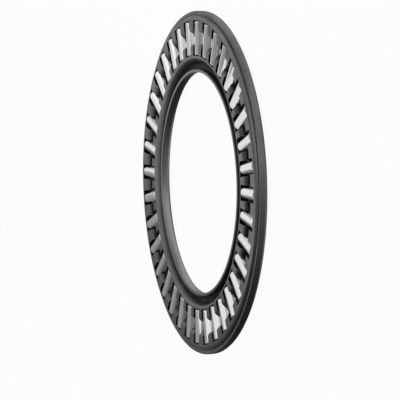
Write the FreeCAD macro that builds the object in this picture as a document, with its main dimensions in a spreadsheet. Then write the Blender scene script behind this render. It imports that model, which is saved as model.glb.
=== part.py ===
"""Needle thrust bearing: a pressed sheet cage with thirty-six needle rollers lying in its pockets.

The bearing axis is Z and the origin is the bearing's centre, on the plane that holds the axes of all the
needles. The front face, with the pocket lips, looks up. Lengths are in millimetres.
"""
import FreeCAD, Part
import math
import os
import Sketcher

# Driving dimensions, one cell of the sheet each.
SIZES = {
    # needles
    "needle_count": 36,
    "needle_diameter": 2.0,
    "needle_length": 4.6,
    # how the needles sit in the cage
    "needle_proud": 0.05,
    "needle_side_clearance": 0.04,
    "needle_end_clearance": 0.1,
    # cage sheet
    "cage_bore_radius": 15.075,
    "sheet_thickness": 0.4,
    "flange_depth": 1.6,
    "outer_rim_drop": 0.43,
    "inner_rim_drop": 0.27,
    # bends, measured on the inside of each bend
    "fold_inside_radius": 0.1,
    "corner_inside_radius": 0.08,
    "lip_inside_radius": 0.2,
    # widths across the section
    "fold_flat": 0.04,
    "dip_width": 1.53,
    "channel_width": 1.27,
    # solid lip between each pocket's ends and the bends beside them
    "outer_margin": 0.18,
    "inner_margin": 0.075,
}

# Heights in the section, as expressions on the sheet.
FACE = "(Sizes.needle_diameter / 2 - Sizes.needle_proud)"
DIP_FLOOR = f"(Sizes.sheet_thickness - {FACE})"
FLANGE_FLOOR = f"({FACE} - Sizes.flange_depth + Sizes.sheet_thickness)"
OUTER_RIM_TOP = f"({FACE} - Sizes.outer_rim_drop)"
INNER_RIM_TOP = f"({FACE} - Sizes.inner_rim_drop)"

# Radii in the section, from the bore outwards.
CORNER = "(Sizes.corner_inside_radius + Sizes.sheet_thickness)"
INNER_RIM = "(Sizes.cage_bore_radius + Sizes.sheet_thickness)"
INNER_LEG = f"({INNER_RIM} + Sizes.channel_width)"
POCKET_INNER_END = f"({INNER_LEG} + {CORNER} + Sizes.inner_margin)"
PITCH_RADIUS = f"({POCKET_INNER_END} + Sizes.needle_end_clearance + Sizes.needle_length / 2)"
POCKET_OUTER_END = f"({PITCH_RADIUS} + Sizes.needle_length / 2 + Sizes.needle_end_clearance)"
OUTER_LEG = f"({POCKET_OUTER_END} + Sizes.outer_margin + {CORNER})"
OUTER_RIM = f"({OUTER_LEG} + Sizes.fold_flat + 2 * Sizes.fold_inside_radius)"
DIP_HALF_WIDTH = "(Sizes.dip_width / 2)"

# The front side of the sheet from the outer rim to the inner rim: straight runs that are upright (a radius)
# or level (a height), each with the way from the front side to the back side, where the metal lies.
OUTWARD, INWARD, DOWNWARD = 1, -1, -1
RUNS = (
    ("upright", OUTER_RIM, OUTWARD),
    ("level", FLANGE_FLOOR, DOWNWARD),
    ("upright", OUTER_LEG, INWARD),
    ("level", FACE, DOWNWARD),
    ("upright", f"({PITCH_RADIUS} + {DIP_HALF_WIDTH})", OUTWARD),
    ("level", DIP_FLOOR, DOWNWARD),
    ("upright", f"({PITCH_RADIUS} - {DIP_HALF_WIDTH})", INWARD),
    ("level", FACE, DOWNWARD),
    ("upright", INNER_LEG, OUTWARD),
    ("level", FLANGE_FLOOR, DOWNWARD),
    ("upright", INNER_RIM, INWARD),
)

# The bend after each run but the last: its inside radius, and the side of the sheet on its outside. The bends
# at the bottom of the dip and of the inner channel are drawn square.
SQUARE_BEND = (None, None)
BENDS = (
    ("fold_inside_radius", "back"),
    ("fold_inside_radius", "back"),
    ("corner_inside_radius", "front"),
    ("lip_inside_radius", "front"),
    SQUARE_BEND,
    SQUARE_BEND,
    ("lip_inside_radius", "front"),
    ("corner_inside_radius", "front"),
    SQUARE_BEND,
    SQUARE_BEND,
)

# The outside of a bend is drawn as one facet that touches its round: a square corner cut back by this share
# of the outside radius.
FACET_SHARE = 2 - math.sqrt(2)

TOUCH = 1e-6


def make_sheet(doc):
    """Write the driving dimensions into the sheet, one aliased cell each."""
    sheet = doc.addObject("Spreadsheet::Sheet", "Sizes")
    for row, (name, value) in enumerate(SIZES.items(), start=1):
        sheet.set(f"A{row}", name)
        sheet.set(f"B{row}", str(value))
        sheet.setAlias(f"B{row}", name)
    doc.recompute()
    return sheet


def number(sheet, expression):
    """Return the present value of an expression on the sheet."""
    return float(sheet.evalExpression(expression))


def origin_plane(body, role):
    """Return the body's own origin plane with this role."""
    return next(feature for feature in body.Origin.OriginFeatures if feature.Role == role)


def new_sketch(body, name, role):
    """Start a sketch on one of the body's own origin planes."""
    sketch = body.newObject("Sketcher::SketchObject", name)
    sketch.AttachmentSupport = [(origin_plane(body, role), "")]
    sketch.MapMode = "FlatFace"
    return sketch


def dimension(sheet, sketch, kind, picks, expression):
    """Add a dimension at its present value and bind it to the sheet."""
    index = sketch.addConstraint(Sketcher.Constraint(kind, *picks, number(sheet, expression)))
    sketch.setExpression(f"Constraints[{index}]", expression)


def side_runs(side):
    """Return the runs of one side of the sheet, as (kind, expression) pairs."""
    if side == "front":
        return [(kind, place) for kind, place, _ in RUNS]
    return [(kind, f"({place} + {away} * Sizes.sheet_thickness)") for kind, place, away in RUNS]


def facet_sizes(side):
    """Return how far each corner is cut back on this side, as expressions, or None where it stays square."""
    return [f"({FACET_SHARE} * (Sizes.{name} + Sizes.sheet_thickness))" if outside == side else None
            for name, outside in BENDS]


def square_corners(sheet, side):
    """Return the square corners of one side of the sheet, with its two free ends."""
    runs = [(kind, number(sheet, place)) for kind, place in side_runs(side)]
    corners = [(runs[0][1], number(sheet, OUTER_RIM_TOP))]
    for (kind, value), (_, next_value) in zip(runs, runs[1:]):
        corners.append((value, next_value) if kind == "upright" else (next_value, value))
    corners.append((runs[-1][1], number(sheet, INNER_RIM_TOP)))
    return [FreeCAD.Vector(radius, height, 0) for radius, height in corners]


def draw_side(sheet, sketch, side):
    """Draw one side of the sheet, straight runs and facets, and dimension it."""
    corners = square_corners(sheet, side)
    facets = facet_sizes(side)
    cuts = [0.0] + [number(sheet, facet) if facet else 0.0 for facet in facets] + [0.0]
    runs = []
    for index, (kind, place) in enumerate(side_runs(side)):
        along = (corners[index + 1] - corners[index]).normalize()
        line = Part.LineSegment(corners[index] + along * cuts[index],
                                corners[index + 1] - along * cuts[index + 1])
        runs.append(sketch.addGeometry(line))
        sketch.addConstraint(Sketcher.Constraint("Vertical" if kind == "upright" else "Horizontal", runs[-1]))
        place_dimension(sheet, sketch, kind, runs[-1], 1, place)
    for first, second, facet in zip(runs, runs[1:], facets):
        if facet is None:
            sketch.addConstraint(Sketcher.Constraint("Coincident", first, 2, second, 1))
        else:
            draw_facet(sheet, sketch, first, second, facet)
    return runs[0], runs[-1]


def draw_facet(sheet, sketch, first, second, cut):
    """Draw the facet between two runs, with the same cut-back along both."""
    start, end = sketch.getPoint(first, 2), sketch.getPoint(second, 1)
    facet = sketch.addGeometry(Part.LineSegment(start, end))
    sketch.addConstraint(Sketcher.Constraint("Coincident", first, 2, facet, 1))
    sketch.addConstraint(Sketcher.Constraint("Coincident", facet, 2, second, 1))
    across = (1, 2) if end.x > start.x else (2, 1)
    dimension(sheet, sketch, "DistanceX", (facet, across[0], facet, across[1]), cut)
    upward = (1, 2) if end.y > start.y else (2, 1)
    dimension(sheet, sketch, "DistanceY", (facet, upward[0], facet, upward[1]), cut)


def place_dimension(sheet, sketch, kind, line, end, place):
    """Dimension an upright line's radius, or a level line's height above or below the middle plane."""
    if kind == "upright":
        dimension(sheet, sketch, "DistanceX", (-1, 1, line, end), place)
    elif number(sheet, place) >= 0:
        dimension(sheet, sketch, "DistanceY", (-1, 1, line, end), place)
    else:
        dimension(sheet, sketch, "DistanceY", (line, end, -1, 1), f"-{place}")


def close_rim(sheet, sketch, front, back, end, top):
    """Close the section across the free edge of a rim."""
    cap = sketch.addGeometry(Part.LineSegment(sketch.getPoint(front, end), sketch.getPoint(back, end)))
    sketch.addConstraint(Sketcher.Constraint("Coincident", front, end, cap, 1))
    sketch.addConstraint(Sketcher.Constraint("Coincident", cap, 2, back, end))
    sketch.addConstraint(Sketcher.Constraint("Horizontal", cap))
    place_dimension(sheet, sketch, "level", cap, 1, top)


def draw_box(sheet, sketch, low, high, half_width):
    """Draw a box across the X axis, from one radius to another, and dimension it."""
    x_low, x_high, reach = (number(sheet, text) for text in (low, high, half_width))
    corners = [FreeCAD.Vector(x, y, 0)
               for x, y in ((x_low, -reach), (x_high, -reach), (x_high, reach), (x_low, reach))]
    sides = [sketch.addGeometry(Part.LineSegment(corners[k], corners[(k + 1) % 4])) for k in range(4)]
    for index in range(4):
        sketch.addConstraint(Sketcher.Constraint("Coincident", sides[index], 2, sides[(index + 1) % 4], 1))
    sketch.addConstraint(Sketcher.Constraint("Horizontal", sides[0]))
    sketch.addConstraint(Sketcher.Constraint("Horizontal", sides[2]))
    sketch.addConstraint(Sketcher.Constraint("Vertical", sides[3]))
    sketch.addConstraint(Sketcher.Constraint("Symmetric", sides[1], 1, sides[1], 2, -1))
    dimension(sheet, sketch, "DistanceX", (-1, 1, sides[3], 1), low)
    dimension(sheet, sketch, "DistanceX", (-1, 1, sides[1], 1), high)
    dimension(sheet, sketch, "DistanceY", (sides[1], 1, sides[1], 2), f"2 * {half_width}")


def cut_through(body, name, sketch):
    """Cut a sketch right through the body, both ways from its plane."""
    before = body.Shape.Volume
    pocket = body.newObject("PartDesign::Pocket", name)
    pocket.Profile = sketch
    pocket.Type = "ThroughAll"
    pocket.SideType = "Symmetric"
    body.Document.recompute()
    if not body.Shape.Volume < before - TOUCH:
        raise RuntimeError(f"{name} cut nothing")
    return pocket


def build_cage(doc, sheet):
    """Build the cage: one pressed ring of sheet with a pocket for each needle."""
    body = doc.addObject("PartDesign::Body", "cage")
    body.Label = "cage"
    section = new_sketch(body, "cage_section", "XZ_Plane")
    front_first, front_last = draw_side(sheet, section, "front")
    back_first, back_last = draw_side(sheet, section, "back")
    close_rim(sheet, section, front_first, back_first, 1, OUTER_RIM_TOP)
    close_rim(sheet, section, front_last, back_last, 2, INNER_RIM_TOP)
    ring = body.newObject("PartDesign::Revolution", "cage_ring")
    ring.Profile = section
    ring.ReferenceAxis = (section, ["V_Axis"])
    ring.Angle = 360
    doc.recompute()
    pocket_sketch = new_sketch(body, "pocket_outline", "XY_Plane")
    half_width = "(Sizes.needle_diameter / 2 + Sizes.needle_side_clearance)"
    draw_box(sheet, pocket_sketch, POCKET_INNER_END, POCKET_OUTER_END, half_width)
    pocket = cut_through(body, "pocket", pocket_sketch)
    one_pocket = body.Shape.Volume
    pattern = body.newObject("PartDesign::PolarPattern", "pocket_pattern")
    pattern.Originals = [pocket]
    pattern.Axis = (section, ["V_Axis"])
    pattern.Angle = 360
    pattern.setExpression("Occurrences", "Sizes.needle_count")
    body.Tip = pattern
    doc.recompute()
    if not body.Shape.Volume < one_pocket - TOUCH:
        raise RuntimeError("the pocket pattern cut nothing")
    return body


def build_needle(doc, sheet, index):
    """Build one needle roller in its pocket, its axis along the radius."""
    name = f"needle_{index + 1:02d}"
    body = doc.addObject("PartDesign::Body", name)
    body.Label = name
    circle = new_sketch(body, f"{name}_circle", "YZ_Plane")
    radius = number(sheet, "Sizes.needle_diameter / 2")
    round_line = circle.addGeometry(Part.Circle(FreeCAD.Vector(), FreeCAD.Vector(0, 0, 1), radius))
    circle.addConstraint(Sketcher.Constraint("Coincident", round_line, 3, -1, 1))
    dimension(sheet, circle, "Diameter", (round_line,), "Sizes.needle_diameter")
    rod = body.newObject("PartDesign::Pad", f"{name}_rod")
    rod.Profile = circle
    rod.SideType = "Symmetric"
    rod.setExpression("Length", "Sizes.needle_length")
    doc.recompute()
    angle = f"(360 * {index} / Sizes.needle_count)"
    body.Placement = FreeCAD.Placement(
        FreeCAD.Vector(number(sheet, PITCH_RADIUS), 0, 0),
        FreeCAD.Rotation(FreeCAD.Vector(0, 0, 1), number(sheet, angle)))
    body.setExpression("Placement.Base.x", f"{PITCH_RADIUS} * cos({angle} * 1 deg)")
    body.setExpression("Placement.Base.y", f"{PITCH_RADIUS} * sin({angle} * 1 deg)")
    return body


def check(doc, bodies):
    """Stop if any object failed or any piece is not a sound solid."""
    for item in doc.Objects:
        if "Invalid" in item.State or "Error" in item.State:
            raise RuntimeError(f"{item.Name} failed: {item.State}")
    for body in bodies:
        shape = body.Shape
        if shape.isNull() or not shape.isValid() or len(shape.Solids) != 1:
            raise RuntimeError(f"{body.Label} is not one sound solid")


def main():
    """Build the bearing and write one STEP file for each piece."""
    doc = FreeCAD.newDocument("needle_thrust_bearing")
    sheet = make_sheet(doc)
    bodies = [build_cage(doc, sheet)]
    for index in range(int(SIZES["needle_count"])):
        bodies.append(build_needle(doc, sheet, index))
    doc.recompute()
    check(doc, bodies)
    os.makedirs("parts", exist_ok=True)
    for body in bodies:
        body.Shape.exportStep(f"parts/{body.Label}.step")
        print(f"{body.Label}: volume {body.Shape.Volume:.3f}")


main()
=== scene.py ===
"""Needle thrust bearing: the pressed cage and its needle rollers, dressed and set in a small studio.

Lengths in the classes are millimetres and every mesh is in metres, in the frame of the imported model: the
bearing axis is Z, the origin is the bearing's centre and the front face with the pocket lips looks up.
"""

import logging
import math
from dataclasses import dataclass, field
from enum import Enum

import bmesh
import bpy
from mathutils import Matrix, Vector


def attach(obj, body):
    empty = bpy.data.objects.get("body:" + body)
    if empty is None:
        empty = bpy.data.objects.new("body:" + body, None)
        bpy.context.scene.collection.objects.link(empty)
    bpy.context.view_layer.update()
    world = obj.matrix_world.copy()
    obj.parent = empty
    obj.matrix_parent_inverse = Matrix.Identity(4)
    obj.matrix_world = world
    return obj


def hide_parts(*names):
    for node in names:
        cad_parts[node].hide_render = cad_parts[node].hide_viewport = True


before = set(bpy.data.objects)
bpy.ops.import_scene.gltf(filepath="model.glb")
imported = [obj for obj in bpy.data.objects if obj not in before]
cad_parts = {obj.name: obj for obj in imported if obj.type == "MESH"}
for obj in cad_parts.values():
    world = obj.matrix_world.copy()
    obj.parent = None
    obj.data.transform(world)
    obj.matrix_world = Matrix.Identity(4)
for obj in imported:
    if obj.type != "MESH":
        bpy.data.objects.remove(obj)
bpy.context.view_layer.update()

MM = 0.001
LOG = logging.getLogger("bearing")

Pair = tuple[float, float]
Triple = tuple[float, float, float]
Socket = bpy.types.NodeSocket


class Outside(Enum):
    """Which side of the sheet lies on the outside of a bend."""

    FRONT = "front"
    BACK = "back"


class RowKind(Enum):
    """How a row of the cage's mesh runs across the pocket."""

    ROUND = "round"
    STRAIGHT = "straight"
    BAR_ONLY = "bar only"


class Shade(Enum):
    """The two finishes of the pieces."""

    CAGE = "cage_steel"
    NEEDLE = "needle_steel"


class Blend(Enum):
    """What a mix node blends: its type, its settings and the numbers of its two inputs and its output."""

    NUMBER = ("ShaderNodeMix", {"data_type": "FLOAT"}, 2, 3, 0)
    COLOUR = ("ShaderNodeMix", {"data_type": "RGBA"}, 6, 7, 2)
    SHADER = ("ShaderNodeMixShader", {}, 1, 2, 0)


def grey(level: float) -> tuple[float, float, float, float]:
    """Return a neutral colour."""
    return (level, level, level, 1.0)


def placed(name: str, data: bpy.types.ID) -> bpy.types.Object:
    """Put new data into the scene.

    Args:
        name: the object's name.
        data: its mesh, lamp or camera.

    Returns:
        The object, at the origin.
    """
    piece = bpy.data.objects.new(name, data)
    bpy.context.scene.collection.objects.link(piece)
    return piece


def flat_plate(name: str, corners: tuple[Pair, ...], height: float,
               material: bpy.types.Material) -> bpy.types.Object:
    """Make one level face.

    Args:
        name: the plate's name.
        corners: its corners, counter-clockwise where it looks up.
        height: how high it lies.
        material: its finish.

    Returns:
        The plate.
    """
    mesh = bmesh.new()
    mesh.faces.new([mesh.verts.new(Vector((*corner, height)) * MM) for corner in corners])
    data = bpy.data.meshes.new(name)
    mesh.to_mesh(data)
    mesh.free()
    data.materials.append(material)
    return placed(name, data)


class TreeMaker:
    """Builds one node tree, with named inputs and links between named sockets."""

    def __init__(self, tree: bpy.types.NodeTree) -> None:
        """Start on an empty tree."""
        self.tree = tree
        self.tree.nodes.clear()

    def add(self, kind: str, **settings: object) -> bpy.types.Node:
        """Add a node.

        Args:
            kind: the node's type name.
            settings: the node's own properties; "values" holds what its inputs get, by name or number:
                sockets, which are linked, or plain values.

        Returns:
            The new node.
        """
        values = settings.pop("values", {})
        node = self.tree.nodes.new(kind)
        for name, value in settings.items():
            setattr(node, name, value)
        for name, value in values.items():
            if isinstance(value, Socket):
                self.tree.links.new(value, node.inputs[name])
            else:
                node.inputs[name].default_value = value
        return node

    def chain(self, *nodes: bpy.types.Node) -> None:
        """Link each node's first output to the next node's first input."""
        for before, after in zip(nodes, nodes[1:]):
            self.tree.links.new(before.outputs[0], after.inputs[0])

    def sockets(self, kind: str, *names: str, way: str = "INPUT") -> None:
        """Give the tree named inputs or outputs of one kind."""
        for name in names:
            self.tree.interface.new_socket(name=name, in_out=way, socket_type=f"NodeSocket{kind}")

    def math(self, operation: str, first: Socket | float, second: Socket | float = 0.0) -> Socket:
        """Return a sum on two sockets or numbers."""
        return self.add("ShaderNodeMath", operation=operation, values={0: first, 1: second}).outputs[0]

    def measure(self, operation: str, vector: Socket, other: Triple = (0.0, 0.0, 0.0)) -> Socket:
        """Return a measure of a vector, alone or against a fixed one."""
        node = self.add("ShaderNodeVectorMath", operation=operation, values={0: vector, 1: other})
        return node.outputs["Value"]

    def rise(self, value: Socket, limits: Pair, soft: bool = False) -> Socket:
        """Return how far a value has risen between two limits, from 0 to 1, evenly or with soft ends."""
        return self.add("ShaderNodeMapRange", interpolation_type="SMOOTHSTEP" if soft else "LINEAR",
                        values={"Value": value, "From Min": limits[0], "From Max": limits[1]}).outputs[0]

    def blend(self, kind: Blend, share: Socket, first: Socket, second: Socket) -> Socket:
        """Return two numbers, colours or shaders blended; the share says how much is the second."""
        node_type, settings, first_input, second_input, output = kind.value
        return self.add(node_type, values={0: share, first_input: first, second_input: second},
                        **settings).outputs[output]

    def along_axis(self, axis: str, value: Socket) -> Socket:
        """Return a vector with a value along one axis."""
        return self.add("ShaderNodeCombineXYZ", values={axis: value}).outputs[0]

    def turn_about_z(self, angle: Socket) -> Socket:
        """Return a rotation about the Z axis."""
        return self.add("FunctionNodeEulerToRotation", values={0: self.along_axis("Z", angle)}).outputs[0]


def started_material(name: str) -> tuple[bpy.types.Material, TreeMaker]:
    """Start a material.

    Args:
        name: the material's name.

    Returns:
        The material and the maker of its tree.
    """
    material = bpy.data.materials.new(name)
    material.use_nodes = True
    return material, TreeMaker(material.node_tree)


def baked(source: bpy.types.Object, tree: bpy.types.NodeTree, values: dict[str, object],
          name: str) -> bpy.types.Object:
    """Run a geometry tree on an object and keep the result as a plain mesh.

    Args:
        source: the object that carries the tree for the run; it is removed afterwards.
        tree: the geometry tree.
        values: the tree's inputs by name.
        name: the name of the finished piece.

    Returns:
        The finished piece, with no modifier.
    """
    modifier = source.modifiers.new("shape", "NODES")
    modifier.node_group = tree
    for item in tree.interface.items_tree:
        if item.item_type == "SOCKET" and item.in_out == "INPUT" and item.name in values:
            modifier[item.identifier] = values[item.name]
    evaluated = source.evaluated_get(bpy.context.evaluated_depsgraph_get())
    mesh = bpy.data.meshes.new_from_object(evaluated)
    mesh.name = name
    source.modifiers.remove(modifier)
    bpy.data.objects.remove(source)
    return placed(name, mesh)


@dataclass(frozen=True)
class Station:
    """One place along the section of the sheet, as radius and height on its front and its back."""

    front: Pair
    back: Pair
    # Painted light on the front, painted shade on the front and painted light on the back.
    painted_light_and_wear: float = 0.0
    painted_shade_share: float = 0.0
    painted_light_behind: float = 0.0

    def at(self, depth: float, thickness: float) -> Pair:
        """Return the radius and height at a depth below the front side."""
        share = depth / thickness
        return (self.front[0] + (self.back[0] - self.front[0]) * share,
                self.front[1] + (self.back[1] - self.front[1]) * share)


@dataclass(frozen=True)
class Bend:
    """One bend of the sheet, with its marks where it starts and where it ends.

    Painted light brightens the front and the back, and painted shade darkens the front.
    """

    inside_radius: float
    outside: Outside
    steps: int
    painted_light_and_wear: Pair = (0.0, 0.0)
    painted_shade_share: Pair = (0.0, 0.0)
    painted_light_behind: Pair = (0.0, 0.0)

    def marks(self, step: int) -> Triple:
        """Return the painted light on the front, the painted shade on the front and the painted light on the
        back, at one step round the bend.
        """
        share = step / self.steps
        return tuple(start + (end - start) * share for start, end in (self.painted_light_and_wear, self.painted_shade_share, self.painted_light_behind))


@dataclass(frozen=True)
class SheetSection:
    """The cage's section: a strip of sheet folded at the rim, dipped between needles and turned up inside.

    Both paths run from the outer rim's free edge to the inner rim's, with one bend at each corner between.
    The fold at the rim is pressed shut up to the crease.
    """

    thickness: float = 0.4
    front: tuple[Pair, ...] = (
        (23.0, 0.52), (23.0, -0.25), (22.81, -0.25), (22.81, 0.95), (20.465, 0.95), (20.465, -0.55),
        (18.935, -0.55), (18.935, 0.95), (16.900, 0.95), (16.255, -0.25), (15.475, -0.25), (15.475, 0.68))
    back: tuple[Pair, ...] = (
        (23.4, 0.52), (23.4, -0.65), (22.41, -0.65), (22.41, 0.55), (20.865, 0.55), (20.865, -0.95),
        (18.535, -0.95), (18.535, 0.55), (17.139, 0.55), (16.494, -0.65), (15.075, -0.65), (15.075, 0.68))
    # The bends' marks: painted light brightens the outer face corner and the inner rim's foot underneath;
    # painted shade darkens the groove, the dip between the needles and the inner channel.
    bends: tuple[Bend, ...] = (
        Bend(0.09, Outside.BACK, 4, painted_shade_share=(0.0, 0.1)), Bend(0.09, Outside.BACK, 4, painted_shade_share=(0.1, 0.0)),
        Bend(0.08, Outside.FRONT, 5, painted_light_and_wear=(0.6, 0.0)), Bend(0.2, Outside.FRONT, 6, painted_shade_share=(0.0, 0.6)),
        Bend(0.35, Outside.BACK, 6, painted_shade_share=(0.85, 1.0)), Bend(0.35, Outside.BACK, 6, painted_shade_share=(1.0, 0.85)),
        Bend(0.2, Outside.FRONT, 6, painted_shade_share=(0.6, 0.0)), Bend(0.08, Outside.FRONT, 5),
        Bend(0.25, Outside.BACK, 6, painted_shade_share=(0.8, 1.0)),
        Bend(0.15, Outside.BACK, 5, painted_shade_share=(1.0, 0.1), painted_light_behind=(0.8, 1.0)))
    fold_bends: int = 2
    crease: float = 0.45
    lip_corner: int = 3
    # Painted shade down the slanted inner wall, darker towards its foot.
    wall_painted_shade: tuple[Pair, ...] = ((0.25, 0.25), (0.5, 0.8))

    @property
    def lip_face(self) -> float:
        """Return the height of the lips' front side."""
        return self.front[self.lip_corner][1]

    @property
    def lip_under(self) -> float:
        """Return the height of the lips' back side."""
        return self.back[self.lip_corner][1]

    def bend_stations(self, index: int) -> list[Station]:
        """Return the stations round one bend, as true arcs about a shared centre.

        Args:
            index: the bend's place from the outer rim inwards.

        Returns:
            The stations from the start of the bend to its end.
        """
        bend = self.bends[index]
        inner_path = self.back if bend.outside is Outside.FRONT else self.front
        before, corner, after = (Vector(point) for point in inner_path[index:index + 3])
        arrive, leave = (corner - before).normalized(), (after - corner).normalized()
        whole = arrive.angle(leave)
        inward = (leave - arrive * arrive.dot(leave)).normalized()
        centre = corner + (leave - arrive).normalized() * bend.inside_radius / math.cos(whole / 2)
        stations = []
        for step in range(bend.steps + 1):
            turn = whole * step / bend.steps
            outward = arrive * math.sin(turn) - inward * math.cos(turn)
            inner = centre + outward * bend.inside_radius
            outer = centre + outward * (bend.inside_radius + self.thickness)
            front, back = (outer, inner) if bend.outside is Outside.FRONT else (inner, outer)
            if index < self.fold_bends:
                front = Vector((front.x, max(front.y, self.crease)))
            stations.append(Station(tuple(front), tuple(back), *bend.marks(step)))
        return stations

    def wall_stations(self, above: Station, below: Station) -> list[Station]:
        """Place stations down the slanted inner wall, where painted shade grows darker towards the foot.

        Args:
            above: the station at the wall's top.
            below: the station at its foot.

        Returns:
            The stations between them.
        """
        stations = []
        for share, painted_shade_share in self.wall_painted_shade:
            front, back = (tuple(Vector(first).lerp(Vector(last), share))
                           for first, last in ((above.front, below.front), (above.back, below.back)))
            stations.append(Station(front, back, painted_shade_share=painted_shade_share))
        return stations

    def runs(self) -> tuple[list[Station], list[Station], list[Station]]:
        """Place the stations round all bends and down the slanted wall.

        Returns:
            Those of the outer flange, of the dip between the needles and of the inner channel.
        """
        bends = [self.bend_stations(index) for index in range(len(self.bends))]
        *outer, lip_start, dip_out, dip_in, lip_end, wall_top, wall_foot, rim_foot = bends
        flange = [station for bend in outer for station in bend]
        channel = wall_top + self.wall_stations(wall_top[-1], wall_foot[0]) + wall_foot + rim_foot
        return flange, lip_start + dip_out + dip_in + lip_end, channel


@dataclass(frozen=True)
class Row:
    """One row of the cage's mesh, on the front or the back of the sheet."""

    kind: RowKind
    place: float
    height: float
    # Painted light and painted shade on the row's points.
    painted_light_and_wear: float = 0.0
    painted_shade_share: float = 0.0


class MarkedMesh:
    """A mesh in the making, with marks of painted light, abrasion and painted shade on its points."""

    def __init__(self) -> None:
        """Start with no faces."""
        self.mesh = bmesh.new()
        self.wear, self.painted_shade = (self.mesh.verts.layers.float.new(name) for name in ("wear", "painted_shade"))

    def strip(self, first: list[Vector], second: list[Vector], marks: tuple[Pair, Pair],
              turned: bool = False) -> None:
        """Join two rows of points by quads.

        Args:
            first: the points of one row.
            second: as many points of the next row.
            marks: the painted light and abrasion, and the painted shade, of the first row and of the second.
            turned: whether the faces look the other way.
        """
        for k in range(len(first) - 1):
            corners = [(first[k], marks[0]), (first[k + 1], marks[0]), (second[k + 1], marks[1]),
                       (second[k], marks[1])]
            verts = []
            for point, (painted_light_and_wear, painted_shade_share) in (reversed(corners) if turned else corners):
                vert = self.mesh.verts.new(point * MM)
                vert[self.wear], vert[self.painted_shade] = painted_light_and_wear, painted_shade_share
                verts.append(vert)
            self.mesh.faces.new(verts)

    def finished(self, name: str, merge: float) -> bpy.types.Object:
        """Merge the doubles and turn the faces outwards.

        Args:
            name: the object's name.
            merge: how close doubles lie.

        Returns:
            The mesh as an object.
        """
        bmesh.ops.remove_doubles(self.mesh, verts=self.mesh.verts, dist=merge * MM)
        bmesh.ops.recalc_face_normals(self.mesh, faces=self.mesh.faces)
        data = bpy.data.meshes.new(name)
        self.mesh.to_mesh(data)
        self.mesh.free()
        return placed(name, data)


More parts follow.
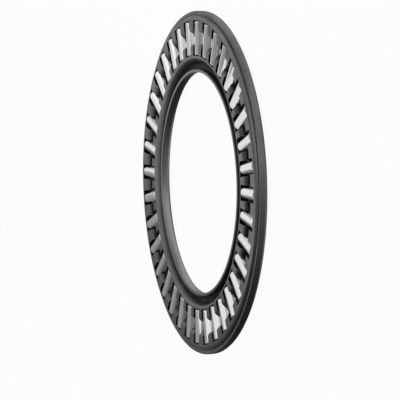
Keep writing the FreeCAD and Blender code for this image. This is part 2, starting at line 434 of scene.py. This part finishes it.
@dataclass
class CageSector:
    """One pitch of the cage: a pocket with half a bar on each side of it."""

    section: SheetSection = field(default_factory=SheetSection)
    pocket_inner_end: float = 17.3
    pocket_outer_end: float = 22.1
    pocket_half_width: float = 1.04
    count: int = 36
    edge: float = 0.035
    edge_steps: int = 3
    edge_worn: float = 0.4
    support: float = 0.03
    merge: float = 0.0001
    # Painted highlight on the rims' free edges, at their front and back corners.
    outer_rim_painted_highlight: Pair = (0.0, 0.0)
    inner_rim_painted_highlight: Pair = (0.0, 0.45)
    bar_shares: tuple[float, ...] = (0.0, 0.07, 0.5, 1.0)
    slot_shares: tuple[float, ...] = (-1.0, -0.93, -0.35, 0.35, 0.93, 1.0)

    def edge_arc(self) -> list[Triple]:
        """Step round a rounded edge.

        Returns:
            The share of the turn, the setback and the depth of each step.
        """
        arc = []
        for step in range(self.edge_steps + 1):
            turn = math.pi / 2 * step / self.edge_steps
            arc.append((step / self.edge_steps, self.edge * (1 - math.sin(turn)),
                        self.edge * (1 - math.cos(turn))))
        return arc

    def rim_cap(self, front: Pair, back: Pair, painted_light_and_wear: Pair) -> list[Row]:
        """Return the rows over a rim's free edge, rounded where the edge was sheared.

        Args:
            front: radius and height of the rim's free end on the front side.
            back: the same on the back side.
            painted_light_and_wear: the painted highlight on the edge, at the front corner and at the back
                corner.

        Returns:
            The rows from just below the front corner to just below the back corner.
        """
        toward = 1.0 if back[0] > front[0] else -1.0
        arc = self.edge_arc()
        rows = []
        for corner, sign, steps, bright in ((front, toward, arc, painted_light_and_wear[0]),
                                            (back, -toward, arc[::-1], painted_light_and_wear[1])):
            for _, setback, depth in steps:
                rows.append(Row(RowKind.ROUND, corner[0] + sign * depth, corner[1] - setback, bright))
        return rows

    def pocket_end(self, end: float, away: float) -> list[Station]:
        """Return the stations on the flat lip beside one end of the pocket, the nearest first."""
        places = [end + away * self.edge, end + away * (self.edge + self.support)]
        return [Station((place, self.section.lip_face), (place, self.section.lip_under)) for place in places]

    def rows(self) -> tuple[list[Row], list[Row], list[Station]]:
        """Lay out the sector's rows from the outer rim to the inner rim.

        Returns:
            The rows of the front, the rows of the back and the stations between the pocket's ends.
        """
        outer, middle, inner = self.section.runs()
        outer_end = self.pocket_end(self.pocket_outer_end, 1.0)
        inner_end = self.pocket_end(self.pocket_inner_end, -1.0)
        zones = ((RowKind.ROUND, outer), (RowKind.STRAIGHT, outer_end[::-1]), (RowKind.BAR_ONLY, middle),
                 (RowKind.STRAIGHT, inner_end), (RowKind.ROUND, inner))
        plan = [(kind, station) for kind, stations in zones for station in stations]
        front = [Row(kind, *station.front, station.painted_light_and_wear, station.painted_shade_share) for kind, station in plan]
        # The back rows carry painted light under the inner rim's foot.
        back = [Row(kind, *station.back, station.painted_light_behind) for kind, station in plan]
        return front, back, middle

    def points(self, row: Row) -> dict[str, list[Vector]]:
        """Place a row's points.

        Args:
            row: the row.

        Returns:
            The points of the half bar, those across the pocket and those of the other half bar.
        """
        half = self.pocket_half_width + self.edge
        straight = row.kind is RowKind.STRAIGHT
        reach = math.hypot(row.place, half) if straight else row.place
        edge_turn = math.asin(half / reach)
        half_bar = math.pi / self.count - edge_turn

        def on_arc(turn: float) -> Vector:
            """Return the row's point at a turn about the axis."""
            return Vector((reach * math.cos(turn), reach * math.sin(turn), row.height))

        bar = [on_arc(edge_turn + half_bar * share) for share in self.bar_shares]
        slot = [Vector((row.place, share * half, row.height)) if straight else on_arc(edge_turn * share)
                for share in self.slot_shares]
        mirrored = [Vector((point.x, -point.y, point.z)) for point in bar]
        return {"bar": bar, "slot": slot, "mirrored": mirrored}

    def edge_profile(self) -> list[tuple[float, float, Pair]]:
        """Step down a punched wall from front to back.

        Returns:
            The offset, the depth and the marks of each step: abrasion at the front edge, painted shade down
            the wall.
        """
        # Abrasion brightens the front edge's rounding, and painted shade darkens the pocket's wall below it.
        front = [(setback, depth, (self.edge_worn * (1.0 - share), share))
                 for share, setback, depth in self.edge_arc()]
        front.append((0.0, self.edge + self.support, (0.0, 1.0)))
        thickness = self.section.thickness
        return front + [(offset, thickness - depth, marks) for offset, depth, marks in reversed(front)]

    def pocket_loop(self, middle: list[Station], offset: float, depth: float) -> list[Vector]:
        """Return the closed outline of the pocket at one step of its wall.

        Args:
            middle: the stations of the bars between the pocket's ends.
            offset: how far the outline stands back from the finished wall.
            depth: how far below the front side it lies.

        Returns:
            The points from the outer end along one side, across the inner end and back.
        """
        half = self.pocket_half_width + offset
        height = self.section.lip_face - depth
        side = []
        for station in middle:
            radius, level = station.at(depth, self.section.thickness)
            side.append(Vector((math.sqrt(radius * radius - half * half), half, level)))
        inner, outer = ([Vector((end, way * share * half, height)) for share in self.slot_shares]
                        for end, way in ((self.pocket_inner_end - offset, -1.0),
                                         (self.pocket_outer_end + offset, 1.0)))
        other = [Vector((point.x, -point.y, point.z)) for point in reversed(side)]
        return side + inner + other + outer

    def skin(self, mesh: MarkedMesh, rows: list[Row], turned: bool) -> None:
        """Skin consecutive rows, leaving the pocket open.

        Args:
            mesh: the mesh that takes the faces.
            rows: the rows in order.
            turned: whether the faces look the other way.
        """
        for first, second in zip(rows, rows[1:]):
            a, b = self.points(first), self.points(second)
            marks = ((first.painted_light_and_wear, first.painted_shade_share), (second.painted_light_and_wear, second.painted_shade_share))
            mesh.strip(a["bar"], b["bar"], marks, turned)
            mesh.strip(a["mirrored"], b["mirrored"], marks, not turned)
            if RowKind.BAR_ONLY not in (first.kind, second.kind):
                mesh.strip(a["slot"], b["slot"], marks, turned)

    def build(self) -> bpy.types.Object:
        """Build the sector's mesh with its marks of painted light, abrasion and painted shade written on its
        points.

        Returns:
            The sector as an object of its own.
        """
        mesh = MarkedMesh()
        front, back, middle = self.rows()
        outer_cap = self.rim_cap(self.section.front[0], self.section.back[0], self.outer_rim_painted_highlight)
        inner_cap = self.rim_cap(self.section.front[-1], self.section.back[-1], self.inner_rim_painted_highlight)
        self.skin(mesh, front, False)
        self.skin(mesh, back, True)
        self.skin(mesh, [front[0]] + outer_cap + [back[0]], True)
        self.skin(mesh, [front[-1]] + inner_cap + [back[-1]], False)
        profile = self.edge_profile()
        for (offset, depth, marks), (next_offset, next_depth, next_marks) in zip(profile, profile[1:]):
            upper = self.pocket_loop(middle, offset, depth)
            lower = self.pocket_loop(middle, next_offset, next_depth)
            mesh.strip(upper + upper[:1], lower + lower[:1], (marks, next_marks))
        return mesh.finished("cage_sector", self.merge)


@dataclass
class Cage:
    """The pressed cage: one sector repeated round the axis and joined into a single sheet."""

    sector: CageSector = field(default_factory=CageSector)
    body: str = "cage"
    weld: float = 0.001
    smooth_angle: float = 42.0

    def ring_tree(self) -> bpy.types.NodeTree:
        """Build the tree that repeats a sector round the Z axis and welds the joints.

        Returns:
            The tree.
        """
        tree = bpy.data.node_groups.new("cage_ring", "GeometryNodeTree")
        make = TreeMaker(tree)
        make.sockets("Geometry", "Geometry")
        make.sockets("Int", "Count")
        make.sockets("Float", "Weld")
        make.sockets("Material", "Material")
        make.sockets("Geometry", "Geometry", way="OUTPUT")
        given, result = make.add("NodeGroupInput").outputs, make.add("NodeGroupOutput")
        points = make.add("GeometryNodePoints", values={"Count": given["Count"]})
        index = make.add("GeometryNodeInputIndex")
        pitch = make.math("DIVIDE", 2 * math.pi, given["Count"])
        turn = make.math("MULTIPLY", index.outputs[0], pitch)
        instance = make.add("GeometryNodeInstanceOnPoints", values={
            "Instance": given["Geometry"], "Rotation": make.turn_about_z(turn)})
        realize = make.add("GeometryNodeRealizeInstances")
        weld = make.add("GeometryNodeMergeByDistance", values={"Distance": given["Weld"]})
        smooth = make.add("GeometryNodeSetShadeSmooth")
        dress = make.add("GeometryNodeSetMaterial", values={"Material": given["Material"]})
        make.chain(points, instance, realize, weld, smooth, dress, result)
        return tree

    def build(self, material: bpy.types.Material) -> bpy.types.Object:
        """Build the whole cage and put it in place of its plain solid.

        Args:
            material: the cage's finish.

        Returns:
            The finished cage.
        """
        values = {"Count": self.sector.count, "Weld": self.weld * MM, "Material": material}
        piece = baked(self.sector.build(), self.ring_tree(), values, "cage_pressed")
        piece.data.set_sharp_from_angle(angle=math.radians(self.smooth_angle))
        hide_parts("cage")
        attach(piece, self.body)
        return piece


@dataclass
class NeedleRow:
    """The needle rollers, each turned from one rule and laid along its own radius."""

    radius: float = 1.0
    length: float = 4.6
    end_rounding: float = 0.15
    pitch_radius: float = 19.7
    count: int = 36
    stations: int = 31
    around: int = 48
    smooth_angle: float = 35.0

    def roller_tree(self) -> bpy.types.NodeTree:
        """Build the tree that turns one roller with rounded ends and lays it along a radius.

        The stations along the roller stand closer towards its ends.

        Returns:
            The tree.
        """
        tree = bpy.data.node_groups.new("needle_roller", "GeometryNodeTree")
        make = TreeMaker(tree)
        make.sockets("Geometry", "Geometry")
        make.sockets("Float", "Radius", "Length", "End Rounding", "Pitch Radius", "Angle")
        make.sockets("Int", "Stations", "Around")
        make.sockets("Material", "Material")
        make.sockets("Geometry", "Geometry", way="OUTPUT")
        given, result = make.add("NodeGroupInput").outputs, make.add("NodeGroupOutput")
        rounding = given["End Rounding"]
        line = make.add("GeometryNodeCurvePrimitiveLine", values={
            "Start": (-1.0, 0.0, 0.0), "End": (1.0, 0.0, 0.0)})
        resample = make.add("GeometryNodeResampleCurve", values={"Count": given["Stations"]})
        place = make.add("GeometryNodeInputPosition").outputs[0]
        along = make.add("ShaderNodeSeparateXYZ", values={0: place}).outputs["X"]
        half = make.math("MULTIPLY", given["Length"], 0.5)
        share = make.math("SINE", make.math("MULTIPLY", along, math.pi / 2))
        spread = make.add("GeometryNodeSetPosition", values={
            "Position": make.along_axis("X", make.math("MULTIPLY", share, half))})
        start = make.math("SUBTRACT", half, rounding)
        past = make.math("MAXIMUM", make.math("SUBTRACT", make.math("ABSOLUTE", along), start))
        drop = make.math("SUBTRACT", make.math("MULTIPLY", rounding, rounding),
                         make.math("MULTIPLY", past, past))
        bulge = make.math("SQRT", make.math("MAXIMUM", drop))
        reach = make.math("ADD", make.math("SUBTRACT", given["Radius"], rounding), bulge)
        ends = make.add("GeometryNodeStoreNamedAttribute", data_type="FLOAT", domain="POINT", values={
            "Name": "roller_end", "Value": make.math("DIVIDE", past, rounding)})
        circle = make.add("GeometryNodeCurvePrimitiveCircle", values={
            "Radius": 1.0, "Resolution": given["Around"]})
        skin = make.add("GeometryNodeCurveToMesh", values={
            "Profile Curve": circle.outputs[0], "Scale": reach, "Fill Caps": True})
        keep = make.add("GeometryNodeStoreNamedAttribute", data_type="FLOAT_VECTOR", domain="POINT",
                        values={"Name": "roller_place", "Value": place})
        shift = make.add("GeometryNodeTransform", values={
            "Translation": make.along_axis("X", given["Pitch Radius"])})
        swing = make.add("GeometryNodeTransform", values={"Rotation": make.turn_about_z(given["Angle"])})
        realize = make.add("GeometryNodeRealizeInstances")
        smooth = make.add("GeometryNodeSetShadeSmooth")
        dress = make.add("GeometryNodeSetMaterial", values={"Material": given["Material"]})
        make.chain(line, resample, spread, ends, skin, keep, shift, swing, realize, smooth, dress, result)
        return tree

    def build(self, material: bpy.types.Material) -> list[bpy.types.Object]:
        """Build the rollers and put each in place of its plain solid.

        Args:
            material: the rollers' finish.

        Returns:
            The finished rollers, one for each body.
        """
        tree = self.roller_tree()
        pieces = []
        for index in range(self.count):
            body = f"needle_{index + 1:02d}"
            carrier = placed("carrier", bpy.data.meshes.new("carrier"))
            values = {"Radius": self.radius * MM, "Length": self.length * MM,
                      "End Rounding": self.end_rounding * MM, "Pitch Radius": self.pitch_radius * MM,
                      "Angle": 2 * math.pi * index / self.count, "Stations": self.stations,
                      "Around": self.around, "Material": material}
            piece = baked(carrier, tree, values, f"{body}_roller")
            piece.data.set_sharp_from_angle(angle=math.radians(self.smooth_angle))
            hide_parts(body)
            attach(piece, body)
            pieces.append(piece)
        return pieces


@dataclass(frozen=True)
class SteelGrain:
    """How a steel is mottled: a soft cloud and a fine grain, added and spread between two colours."""

    cloud_detail: float = 4.0
    cloud_roughness: float = 0.55
    cloud_share: float = 0.6
    grain_detail: float = 3.0
    grain_roughness: float = 0.6
    spread: Pair = (0.35, 0.65)

    def build(self) -> bpy.types.NodeTree:
        """Build the shader group that mottles a steel's colour and roughness and gives it a fine relief.

        Returns:
            The group.
        """
        tree = bpy.data.node_groups.new("steel_grain", "ShaderNodeTree")
        make = TreeMaker(tree)
        make.sockets("Vector", "Place")
        make.sockets("Float", "Cloud Scale", "Grain Scale", "Smooth Roughness", "Rough Roughness")
        make.sockets("Color", "Dark Color", "Light Color")
        make.sockets("Color", "Color", way="OUTPUT")
        make.sockets("Float", "Roughness", "Height", way="OUTPUT")
        given = make.add("NodeGroupInput").outputs
        cloud, grain = (make.add("ShaderNodeTexNoise", values={
            "Vector": given["Place"], "Scale": given[scale], "Detail": detail, "Roughness": roughness,
        }).outputs["Fac"] for scale, detail, roughness in (
            ("Cloud Scale", self.cloud_detail, self.cloud_roughness),
            ("Grain Scale", self.grain_detail, self.grain_roughness)))
        both = make.math("ADD", make.math("MULTIPLY", cloud, self.cloud_share),
                         make.math("MULTIPLY", grain, 1.0 - self.cloud_share))
        share = make.rise(both, self.spread)
        make.add("NodeGroupOutput", values={
            "Color": make.blend(Blend.COLOUR, share, given["Dark Color"], given["Light Color"]),
            "Roughness": make.blend(Blend.NUMBER, share, given["Rough Roughness"], given["Smooth Roughness"]),
            "Height": grain})
        return tree


@dataclass(frozen=True)
class SteelMarks:
    """How marks on a steel are broken up: the noise, the least of a mark that it leaves and its swing."""

    scale: float = 900.0
    detail: float = 3.0
    least: float = 0.7
    swing: float = 0.6

    def build(self) -> bpy.types.NodeTree:
        """Build the shader group that changes a steel where a mask on its points says.

        Returns:
            The group.
        """
        tree = bpy.data.node_groups.new("steel_marks", "ShaderNodeTree")
        make = TreeMaker(tree)
        make.sockets("Vector", "Place")
        make.sockets("Float", "Mask", "Amount", "Roughness", "Marked Roughness")
        make.sockets("Color", "Color", "Marked Color")
        make.sockets("Color", "Color", way="OUTPUT")
        make.sockets("Float", "Roughness", way="OUTPUT")
        given = make.add("NodeGroupInput").outputs
        noise = make.add("ShaderNodeTexNoise", values={
            "Vector": given["Place"], "Scale": self.scale, "Detail": self.detail})
        broken = make.math("ADD", make.math("MULTIPLY", noise.outputs["Fac"], self.swing), self.least)
        marked = make.math("MULTIPLY", make.math("MULTIPLY", given["Mask"], given["Amount"]), broken)
        share = make.math("MINIMUM", marked, 1.0)
        make.add("NodeGroupOutput", values={
            "Color": make.blend(Blend.COLOUR, share, given["Color"], given["Marked Color"]),
            "Roughness": make.blend(Blend.NUMBER, share, given["Roughness"], given["Marked Roughness"])})
        return tree


@dataclass(frozen=True)
class Mark:
    """What a mask on a piece's points does to its steel."""

    attribute: str
    level: float
    roughness: float
    amount: float


@dataclass(frozen=True)
class SteelFinish:
    """One steel finish, told apart by its colours, its roughness and the scale of its grain."""

    name: str
    dark: float
    light: float
    smooth_roughness: float
    rough_roughness: float
    cloud_scale: float
    grain_scale: float
    stretch: Triple
    relief: float
    place_attribute: str = ""
    marks: tuple[Mark, ...] = ()

    def material(self, grain: bpy.types.NodeTree, mark: bpy.types.NodeTree) -> bpy.types.Material:
        """Build the finish.

        Args:
            grain: the group that mottles the steel.
            mark: the group that changes the steel where a mask says: painted light, painted shade and
                abrasion on the cage, duller ends on the rollers.

        Returns:
            The material.
        """
        material, make = started_material(self.name)
        if self.place_attribute:
            place = make.add("ShaderNodeAttribute", attribute_name=self.place_attribute).outputs["Vector"]
        else:
            place = make.add("ShaderNodeTexCoord").outputs["Object"]
        mapping = make.add("ShaderNodeMapping", values={"Vector": place, "Scale": self.stretch})
        mottle = steel = make.add("ShaderNodeGroup", node_tree=grain, values={
            "Place": mapping.outputs[0], "Cloud Scale": self.cloud_scale, "Grain Scale": self.grain_scale,
            "Dark Color": grey(self.dark), "Light Color": grey(self.light),
            "Smooth Roughness": self.smooth_roughness, "Rough Roughness": self.rough_roughness})
        for laid in self.marks:
            mask = make.add("ShaderNodeAttribute", attribute_name=laid.attribute)
            steel = make.add("ShaderNodeGroup", node_tree=mark, values={
                "Place": mapping.outputs[0], "Mask": mask.outputs["Fac"], "Amount": laid.amount,
                "Color": steel.outputs["Color"], "Marked Color": grey(laid.level),
                "Roughness": steel.outputs["Roughness"], "Marked Roughness": laid.roughness})
        bump = make.add("ShaderNodeBump", values={
            "Strength": 1.0, "Distance": self.relief * MM, "Height": mottle.outputs["Height"]})
        shader = make.add("ShaderNodeBsdfPrincipled", values={
            "Base Color": steel.outputs["Color"], "Metallic": 1.0, "Roughness": steel.outputs["Roughness"],
            "Normal": bump.outputs[0]})
        make.add("ShaderNodeOutputMaterial", values={"Surface": shader.outputs[0]})
        return material


CAGE_STEEL = SteelFinish(
    name="cage_satin_steel", dark=0.13, light=0.175, smooth_roughness=0.34, rough_roughness=0.44,
    cloud_scale=350.0, grain_scale=4500.0, stretch=(1.0, 1.0, 1.0), relief=0.002,
    # Abrasion on the pocket edges, plus painted light: this mask brightens the rims' edges, the outer face
    # corner and the inner rim's foot underneath.
    marks=(Mark("wear", level=0.31, roughness=0.24, amount=0.75),
           # Painted shade: this mask darkens the groove, the dips between the needles, the pocket walls and
           # the inner channel.
           Mark("painted_shade", level=0.012, roughness=0.58, amount=1.0)))
NEEDLE_STEEL = SteelFinish(
    name="needle_bright_steel", dark=0.72, light=0.84, smooth_roughness=0.11, rough_roughness=0.18,
    cloud_scale=300.0, grain_scale=3000.0, stretch=(0.3, 2.5, 2.5), relief=0.0004,
    place_attribute="roller_place", marks=(Mark("roller_end", level=0.36, roughness=0.4, amount=1.0),))


@dataclass(frozen=True)
class SoftLamp:
    """A soft rectangular lamp that hangs level over the bearing, unseen by the camera."""

    place: Triple = (-22.0, 27.0, 16.0)
    size: Pair = (26.0, 9.0)
    power: float = 0.00018

    def build(self) -> bpy.types.Object:
        """Hang the lamp.

        Returns:
            The lamp.
        """
        data = bpy.data.lights.new("soft_lamp", "AREA")
        data.shape = "RECTANGLE"
        data.size, data.size_y = (side * MM for side in self.size)
        data.energy = self.power
        lamp = placed("soft_lamp", data)
        lamp.location = Vector(self.place) * MM
        lamp.visible_camera = False
        return lamp


@dataclass(frozen=True)
class LightBoard:
    """A glowing board that hangs level over the bearing and shows in the metal, unseen by the camera."""

    name: str
    light: float
    corners: tuple[Pair, ...]
    height: float = 16.0

    def build(self) -> bpy.types.Object:
        """Hang the board.

        Returns:
            The board.
        """
        material, make = started_material(f"{self.name}_glow")
        glow = make.add("ShaderNodeEmission", values={"Color": grey(1.0), "Strength": self.light})
        make.add("ShaderNodeOutputMaterial", values={"Surface": glow.outputs[0]})
        board = flat_plate(self.name, self.corners, self.height, material)
        board.visible_camera = board.visible_diffuse = False
        return board


PALE_BOARD = LightBoard(
    name="pale_board", light=0.95,
    corners=((-82.4, 7.6), (11.6, -24.5), (26.4, -18.1), (24.5, -6.0), (17.5, 4.0), (-74.9, 28.3)))
GREY_BOARD = LightBoard(
    name="grey_board", light=0.3,
    corners=((4.0, 8.2), (17.7, 4.5), (23.5, -3.5), (25.0, -1.0), (25.0, 11.5), (16.0, 20.5), (4.0, 24.0)))


@dataclass(frozen=True)
class Floor:
    """The plain pale floor that the bearing lies on.

    Near the bearing, but not right under its ring, mirror rays and shadow rays pass through the floor.
    Farther out mirror rays find it white. The camera sees it white, with a soft-edged ring of shade.
    """

    height: float = -1.0
    reach: float = 3000.0
    colour: float = 0.9
    roughness: float = 0.9
    camera_glow: float = 0.95
    covered: Pair = (15.3, 23.1)
    open_outer: float = 150.0
    shade_centre: Pair = (-2.6, -0.24)
    shade_inner: Pair = (15.3, 15.8)
    shade_outer: Pair = (22.4, 22.8)

    def build(self) -> bpy.types.Object:
        """Lay the floor.

        Returns:
            The floor.
        """
        corners = tuple((x * self.reach, y * self.reach) for x, y in ((-1, -1), (1, -1), (1, 1), (-1, 1)))
        floor = flat_plate("floor", corners, self.height, self.material())
        return floor

    def material(self) -> bpy.types.Material:
        """Build the floor's finish: white to the camera, shaded under the bearing, clear from below.

        Returns:
            The material.
        """
        material, make = started_material("floor_pale")
        pale = make.add("ShaderNodeBsdfPrincipled", values={
            "Base Color": grey(self.colour), "Roughness": self.roughness, "Specular IOR Level": 0.0})
        white = make.add("ShaderNodeEmission", values={"Color": grey(1.0), "Strength": 1.0})
        through = make.add("ShaderNodeBsdfTransparent")
        place = make.add("ShaderNodeTexCoord").outputs["Object"]
        radius = make.measure("LENGTH", place)
        past_inner, past_outer, far = (make.math("GREATER_THAN", radius, limit * MM)
                                       for limit in (*self.covered, self.open_outer))
        clear = make.math("SUBTRACT", 1.0, make.math("SUBTRACT", past_inner, past_outer))
        near = make.math("SUBTRACT", clear, far)
        path = make.add("ShaderNodeLightPath").outputs
        mirrored = make.math("MAXIMUM", path["Is Glossy Ray"], path["Is Transmission Ray"])
        centre = tuple(Vector((*self.shade_centre, self.height)) * MM)
        off_centre = make.measure("DISTANCE", place, centre)
        edges = [make.rise(off_centre, (start * MM, end * MM), soft=True)
                 for start, end in (self.shade_inner, self.shade_outer)]
        unshaded = make.math("SUBTRACT", 1.0, make.math("SUBTRACT", *edges))
        seen = make.math("MULTIPLY", path["Is Camera Ray"],
                         make.math("MULTIPLY", unshaded, self.camera_glow))
        glow = make.math("MAXIMUM", seen, make.math("MULTIPLY", mirrored, far))
        passed = make.math("MULTIPLY", make.math("MAXIMUM", mirrored, path["Is Shadow Ray"]), near)
        passed = make.math("MAXIMUM", passed, make.add("ShaderNodeNewGeometry").outputs["Backfacing"])
        lit = make.blend(Blend.SHADER, glow, pale.outputs[0], white.outputs[0])
        opened = make.blend(Blend.SHADER, passed, lit, through.outputs[0])
        make.add("ShaderNodeOutputMaterial", values={"Surface": opened})
        return material


@dataclass(frozen=True)
class Surroundings:
    """The light from all round: bright above the photograph's horizon, dimmer below it.

    The light follows Y, sinks for directions below the bearing, comes back straight under it, fades
    towards the top of the front side, and is dimmer on the camera's side, low down behind the bearing
    and where a dark flag stands.
    """

    level: float = 1.1
    sink: float = 0.3
    sink_behind: float = 1.0
    lift: float = 0.15
    well: float = 5.0
    well_start: float = 0.7
    dim: float = 0.35
    dim_rise: float = 3.0
    haze: float = 0.7
    haze_height: float = 0.35
    flag: float = 0.65
    flag_direction: Triple = (-0.796, 0.537, 0.279)
    flag_edges: Pair = (0.962, 0.993)
    steps: tuple[Pair, ...] = (
        (-1.4, 0.02), (-1.05, 0.05), (-0.9, 0.08), (-0.74, 0.14), (-0.5, 0.26), (-0.27, 0.33),
        (-0.1, 0.35), (0.0, 0.42), (0.08, 0.68), (0.15, 0.84), (0.35, 0.93), (0.6, 0.95), (0.74, 0.89),
        (0.83, 0.7), (0.93, 0.45), (1.1, 0.3))

    def colour(self, make: TreeMaker, across: Socket, along: Socket, height: Socket) -> Socket:
        """Grade the light by its direction.

        Args:
            make: the maker of the world's tree.
            across: the direction's share along X.
            along: its share along Y.
            height: its share along Z.

        Returns:
            The light's colour.
        """
        behind = make.math("MAXIMUM", make.math("MULTIPLY", across, -1.0))
        sink = make.math("ADD", make.math("MULTIPLY", behind, self.sink_behind), self.sink)
        below = make.math("MULTIPLY", make.math("MINIMUM", height), sink)
        down = make.math("MULTIPLY", height, -1.0)
        deep = make.math("MAXIMUM", make.math("SUBTRACT", down, self.well_start))
        upper = make.math("MULTIPLY", make.math("MAXIMUM", height), make.math("MAXIMUM", along))
        above = make.math("ADD", make.math("MULTIPLY", upper, self.lift),
                          make.math("MULTIPLY", deep, self.well))
        lowest, highest = self.steps[0][0], self.steps[-1][0]
        towards = make.math("ADD", make.math("ADD", along, below), above)
        ramp = make.add("ShaderNodeValToRGB", values={"Fac": make.rise(towards, (lowest, highest))})
        stops = ramp.color_ramp.elements
        for _ in range(len(self.steps) - len(stops)):
            stops.new(0.5)
        for stop, (place, bright) in zip(stops, self.steps):
            stop.position = (place - lowest) / (highest - lowest)
            stop.color = grey(bright)
        return ramp.outputs["Color"]

    def strength(self, make: TreeMaker, direction: Socket, across: Socket, height: Socket) -> Socket:
        """Dim the light on the camera's side, low down behind the bearing and where the flag stands.

        Args:
            make: the maker of the world's tree.
            direction: the light's direction.
            across: its share along X.
            height: its share along Z.

        Returns:
            The light's strength.
        """
        shares = [make.math("MINIMUM", make.math("MULTIPLY", make.math("MAXIMUM", way), self.dim_rise), 1.0)
                  for way in (across, height)]
        before = make.math("MULTIPLY", *shares)
        behind = make.math("MAXIMUM", make.math("MULTIPLY", across, -1.0))
        off_level = make.math("DIVIDE", make.math("ABSOLUTE", height), self.haze_height)
        haze = make.math("MULTIPLY", behind, make.math("MAXIMUM", make.math("SUBTRACT", 1.0, off_level)))
        towards = make.measure("DOT_PRODUCT", direction, self.flag_direction)
        flag = make.rise(towards, self.flag_edges, soft=True)
        strength = self.level
        for share, dim in ((before, self.dim), (haze, self.haze), (flag, self.flag)):
            kept = make.math("SUBTRACT", 1.0, make.math("MULTIPLY", share, dim))
            strength = make.math("MULTIPLY", kept, strength)
        return strength

    def build(self) -> bpy.types.World:
        """Build the surroundings, white to the camera.

        Returns:
            The world.
        """
        world = bpy.data.worlds.new("studio")
        world.use_nodes = True
        make = TreeMaker(world.node_tree)
        direction = make.add("ShaderNodeTexCoord").outputs["Generated"]
        across, along, height = make.add("ShaderNodeSeparateXYZ", values={0: direction}).outputs
        light = make.add("ShaderNodeBackground", values={
            "Color": self.colour(make, across, along, height),
            "Strength": self.strength(make, direction, across, height)})
        white = make.add("ShaderNodeBackground", values={"Color": grey(1.0), "Strength": 1.0})
        seen = make.add("ShaderNodeLightPath").outputs["Is Camera Ray"]
        mixed = make.blend(Blend.SHADER, seen, light.outputs[0], white.outputs[0])
        make.add("ShaderNodeOutputWorld", values={"Surface": mixed})
        bpy.context.scene.world = world
        return world


@dataclass(frozen=True)
class Viewpoint:
    """Where the photograph was taken from."""

    place: Triple = (400.31, 34.01, 144.48)
    right: Triple = (0.33890, -0.00200, -0.94082)
    up: Triple = (-0.07948, 0.99636, -0.03075)
    lens: float = 281.76
    sensor: float = 36.0
    clip: Pair = (10.0, 20000.0)

    def build(self) -> bpy.types.Object:
        """Set up the camera.

        Returns:
            The camera.
        """
        data = bpy.data.cameras.new("camera")
        data.lens, data.sensor_width = self.lens, self.sensor
        data.clip_start, data.clip_end = (distance * MM for distance in self.clip)
        camera = placed("camera", data)
        right = Vector(self.right).normalized()
        back = right.cross(Vector(self.up)).normalized()
        up = back.cross(right)
        camera.rotation_euler = Matrix((right, up, back)).transposed().to_euler()
        camera.location = Vector(self.place) * MM
        bpy.context.scene.camera = camera
        return camera


@dataclass(frozen=True)
class Studio:
    """The plain pale floor, the soft surroundings, the lights and the camera."""

    floor: Floor = Floor()
    surroundings: Surroundings = Surroundings()
    boards: tuple[LightBoard, ...] = (PALE_BOARD, GREY_BOARD)
    lamp: SoftLamp = SoftLamp()
    viewpoint: Viewpoint = Viewpoint()

    def build(self) -> list[bpy.types.Object]:
        """Build the studio round the bearing.

        Returns:
            The studio's objects.
        """
        self.surroundings.build()
        parts = (self.floor, *self.boards, self.lamp, self.viewpoint)
        return [part.build() for part in parts]


def main() -> None:
    """Build the bearing's pieces in order, then its studio."""
    logging.basicConfig(level=logging.INFO, format="%(message)s")
    bpy.context.scene.view_settings.view_transform = "Standard"
    grain, mark = SteelGrain().build(), SteelMarks().build()
    cage = Cage().build(CAGE_STEEL.material(grain, mark))
    rollers = NeedleRow().build(NEEDLE_STEEL.material(grain, mark))
    for piece in (cage, *rollers):
        LOG.info("%s: %d faces", piece.name, len(piece.data.polygons))
    for part in Studio().build():
        LOG.info("studio: %s", part.name)


if __name__ == "__main__":
    main()
